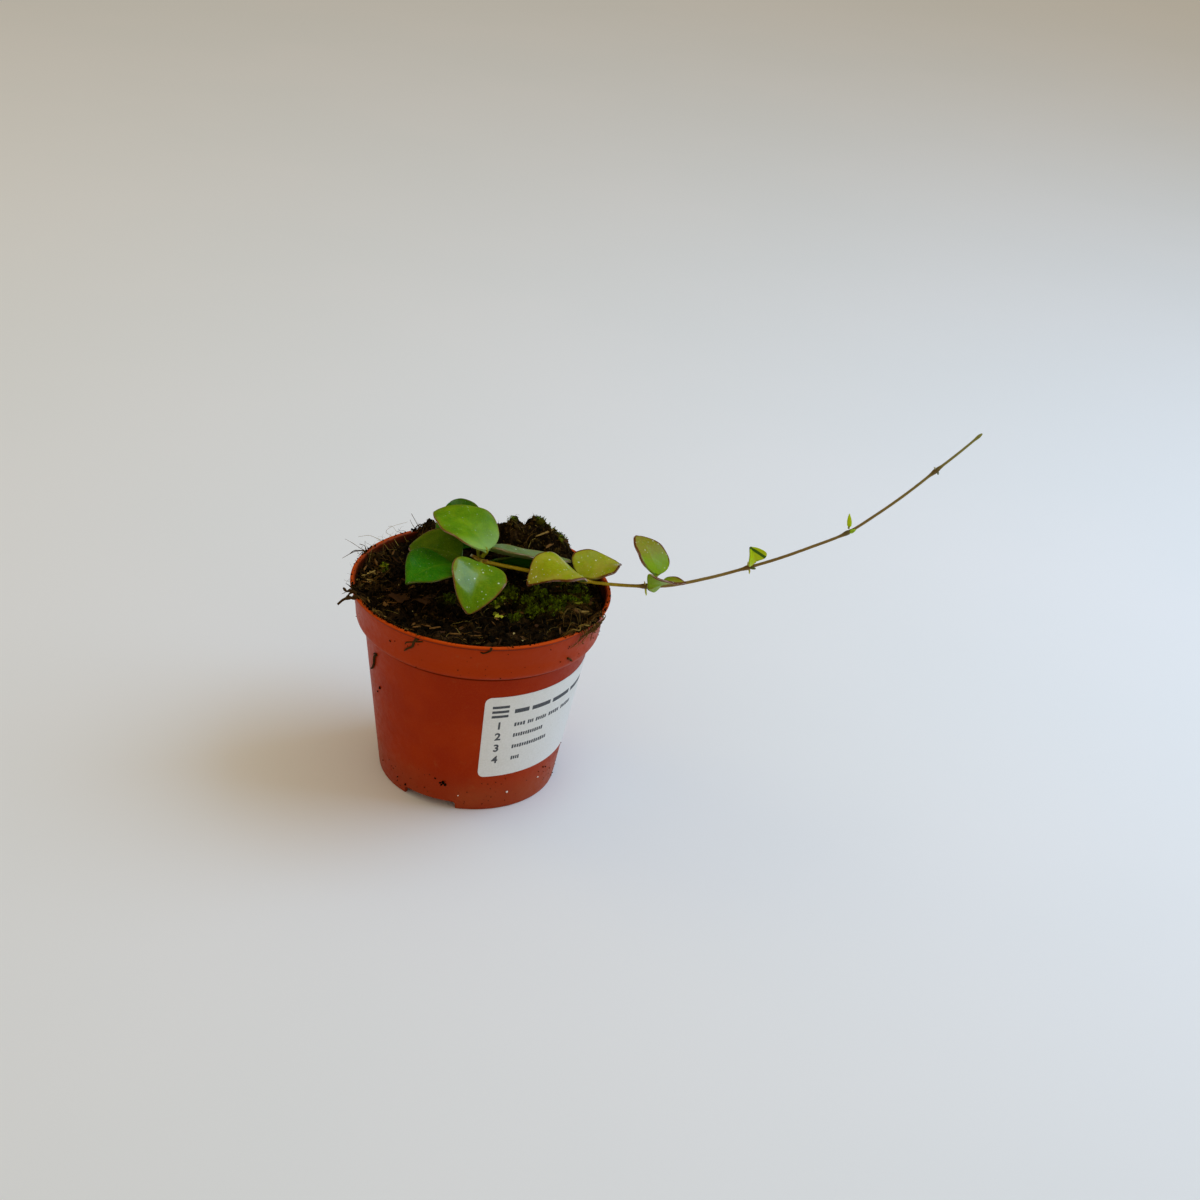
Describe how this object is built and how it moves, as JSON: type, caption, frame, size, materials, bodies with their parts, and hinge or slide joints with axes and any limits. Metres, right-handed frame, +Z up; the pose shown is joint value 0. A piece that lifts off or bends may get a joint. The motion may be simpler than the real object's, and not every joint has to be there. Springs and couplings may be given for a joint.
{
  "type": "potted hoya",
  "caption": "Young trailing hoya in a round nursery pot: fleshy folded leaves, dark peat and one long thin runner reaching out to the side.",
  "frame": {"origin": "middle of the pot's foot, in the plane that the pot stands on", "axes": "+Z up, +X along the reach of the runner, -Y towards the viewer"},
  "size_m": [0.2101, 0.09, 0.1365],
  "materials": {
    "pot": "smooth moulded terracotta-coloured polypropylene with a soft sheen",
    "label": "white coated label paper with grey ruled bars and plain numbers",
    "peat": "dark damp peat and coir potting mix with moss and loose fibres",
    "stem": "living stem, olive at the pot and brown along the runner",
    "leaf_lit": "thick waxy yellow-green leaf with reddish margins",
    "leaf_deep": "thick waxy deep green leaf",
    "leaf_olive": "thick waxy olive leaf with reddish margins",
    "leaf_young": "young yellow-green leaf"
  },
  "bodies": {
    "root": {"pot": "pot", "label": "label", "peat": "peat", "stem": "stem", "leaf_crown_upper": "leaf_lit", "leaf_crown_back": "leaf_deep", "leaf_left_back": "leaf_olive", "leaf_left_front": "leaf_deep", "leaf_front": "leaf_lit", "leaf_right_low": "leaf_deep", "leaf_right_high": "leaf_deep", "leaf_two_front": "leaf_olive", "leaf_two_back": "leaf_olive", "leaf_three_upright": "leaf_lit", "leaf_three_forward": "leaf_olive", "young_leaf_four": "leaf_young", "young_leaf_five": "leaf_young"}
  },
  "joints": []
}
